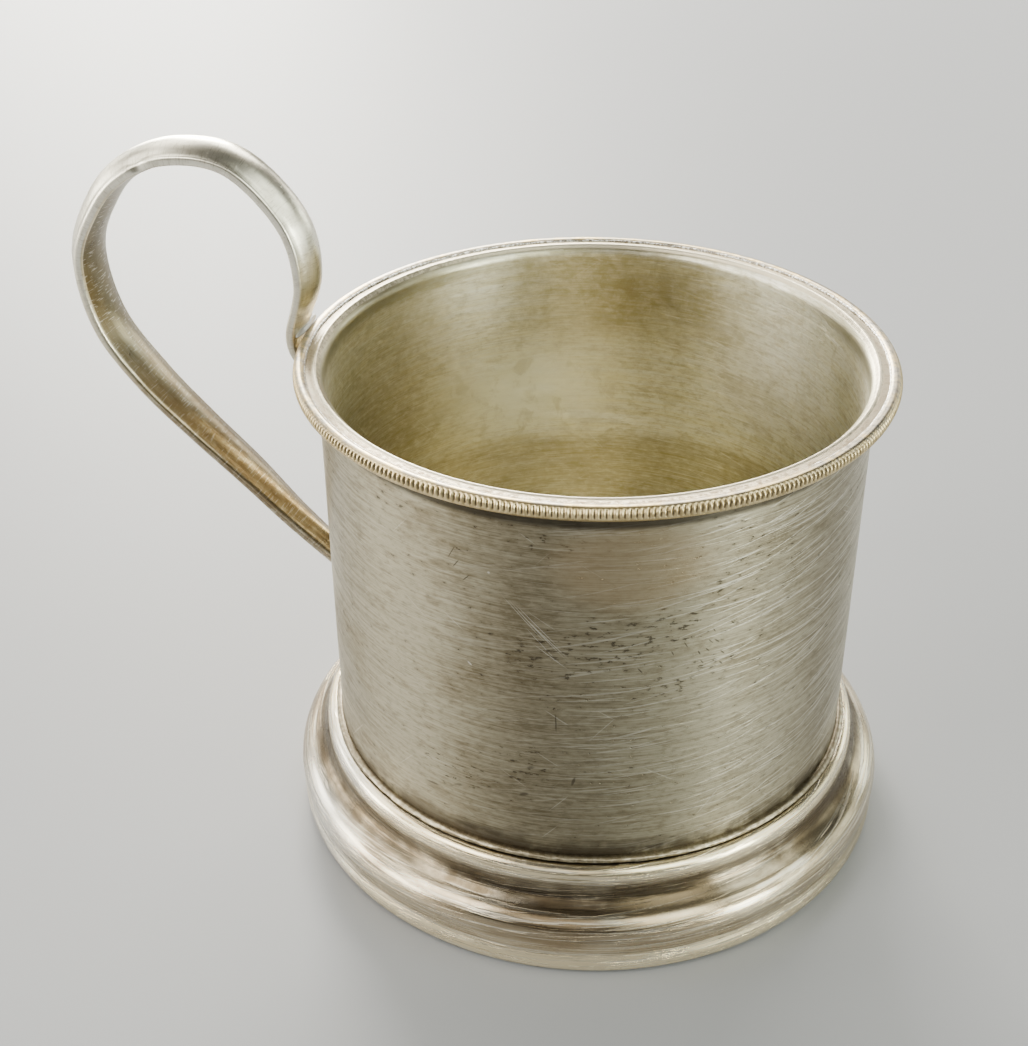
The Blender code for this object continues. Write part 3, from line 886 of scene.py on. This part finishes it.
def lump(name, centre, half_sizes, node, seed, roughness=0.12):
    """A rounded, uneven blob of solder, in the CAD's own plain solder material."""
    picks = np.random.default_rng(seed)
    waves = [(picks.normal(size=3) * 2.2, picks.uniform(0, 6.28)) for _ in range(7)]
    verts, faces = [], []
    rows, columns = 24, 36
    for i in range(rows + 1):
        polar = math.pi * i / rows
        for j in range(columns):
            turn = 2 * math.pi * j / columns
            away = math.sin(polar)
            way = np.array([away * math.cos(turn), away * math.sin(turn), math.cos(polar)])
            size = 1.0 + roughness * sum(math.sin(way @ k + p) for k, p in waves) / 3
            verts.append(way * size * np.array(half_sizes) + np.array([-centre[0], 0.0, centre[1]]))
    for i in range(rows):
        for j in range(columns):
            m = (j + 1) % columns
            a, b = i * columns + j, i * columns + m
            faces.append((a, a + columns, b + columns, b))
    mesh_object(name, verts, faces, [node], [bpy.data.materials["solder"]])


# ---------------------------------------------------------------- stage


# Half the floor's side in metres, and the strength of the even light from all round.
STUDIO_HALF_SIDE = 1.6
WORLD_STRENGTH = 0.03


def make_stage():
    mesh = bpy.data.meshes.new("studio_floor")
    half = STUDIO_HALF_SIDE
    corners = [(-half, -half, 0), (half, -half, 0), (half, half, 0), (-half, half, 0)]
    mesh.from_pydata(corners, [], [(0, 1, 2, 3)])
    mesh.materials.append(floor_paint())
    floor = bpy.data.objects.new("studio_floor", mesh)
    bpy.context.scene.collection.objects.link(floor)


# Camera: its place, then its turn from +Y, its dip and its roll in degrees, and its lens.
CAMERA_PLACE = (32.01, -181.55, 158.23)
CAMERA_TURN = -13.243
CAMERA_DIP = 32.28
CAMERA_ROLL = -0.4354
CAMERA_LENS = 55.89


def make_camera():
    turn, dip, roll = (math.radians(v) for v in (CAMERA_TURN, CAMERA_DIP, CAMERA_ROLL))
    ahead = Vector((math.sin(turn) * math.cos(dip), math.cos(turn) * math.cos(dip), -math.sin(dip)))
    level = Vector((math.cos(turn), -math.sin(turn), 0))
    upward = level.cross(ahead)
    right = level * math.cos(roll) + upward * math.sin(roll)
    top = upward * math.cos(roll) - level * math.sin(roll)
    data = bpy.data.cameras.new("camera")
    data.lens = CAMERA_LENS
    data.sensor_width = 36.0
    data.clip_start = 0.01
    camera = bpy.data.objects.new("camera", data)
    facing = Matrix((right, top, -ahead)).transposed().to_4x4()
    camera.matrix_world = Matrix.Translation(Vector(CAMERA_PLACE) * MM) @ facing
    bpy.context.scene.collection.objects.link(camera)
    bpy.context.scene.camera = camera


# Soft square panels a metre from the cup: azimuth (0 is +X, 90 is +Y), elevation, side in metres, watts.
# All of them point at the axis, AIM_HEIGHT metres above the floor.
PANELS = [
    (0, 12, 0.32, 1.2), (336, 12, 0.32, 6.2), (216, 12, 0.32, 2.8), (192, 12, 0.32, 4.6),
    (168, 12, 0.32, 2.3), (144, 12, 0.32, 1.3), (120, 12, 0.32, 11.0), (72, 12, 0.32, 1.0),
    (48, 12, 0.32, 1.6), (24, 12, 0.32, 0.6), (112, 27, 0.30, 13.0), (0, 42, 0.45, 2.2),
    (315, 42, 0.45, 3.6), (270, 42, 0.45, 0.8), (225, 42, 0.45, 4.8), (180, 42, 0.45, 2.4),
    (135, 42, 0.45, 3.0), (90, 42, 0.45, 6.0),
]
WARM_TINT = (1.0, 0.965, 0.86)
GREEN_TINT = (0.95, 1.0, 0.88)
AIM_HEIGHT = 0.03


def make_lights():
    for azimuth, elevation, side, power in PANELS:
        data = bpy.data.lights.new(f"panel_{azimuth}_{elevation}", "AREA")
        data.shape = "SQUARE"
        data.size = side
        data.energy = power
        data.color = GREEN_TINT if azimuth >= 315 or azimuth <= 48 else WARM_TINT
        lamp = bpy.data.objects.new(data.name, data)
        a, e = math.radians(azimuth), math.radians(elevation)
        place = Vector((math.cos(a) * math.cos(e), math.sin(a) * math.cos(e), math.sin(e)))
        lamp.location = place + Vector((0, 0, AIM_HEIGHT))
        lamp.rotation_euler = place.to_track_quat("Z", "Y").to_euler()
        bpy.context.scene.collection.objects.link(lamp)
    world = bpy.data.worlds.new("studio")
    world.use_nodes = True
    background = world.node_tree.nodes["Background"]
    background.inputs["Color"].default_value = (0.90, 0.88, 0.84, 1.0)
    background.inputs["Strength"].default_value = WORLD_STRENGTH
    bpy.context.scene.world = world


make_wall()
make_rim()
make_rim_solder()
make_foot()
make_foot_seam()
make_floor_disc()
make_handle()
lump("solder_at_rim", *UPPER_SOLDER, "upper_handle_solder", 3)
lump("solder_at_wall", *LOWER_SOLDER, "lower_handle_solder", 8)
make_stage()
make_camera()
make_lights()
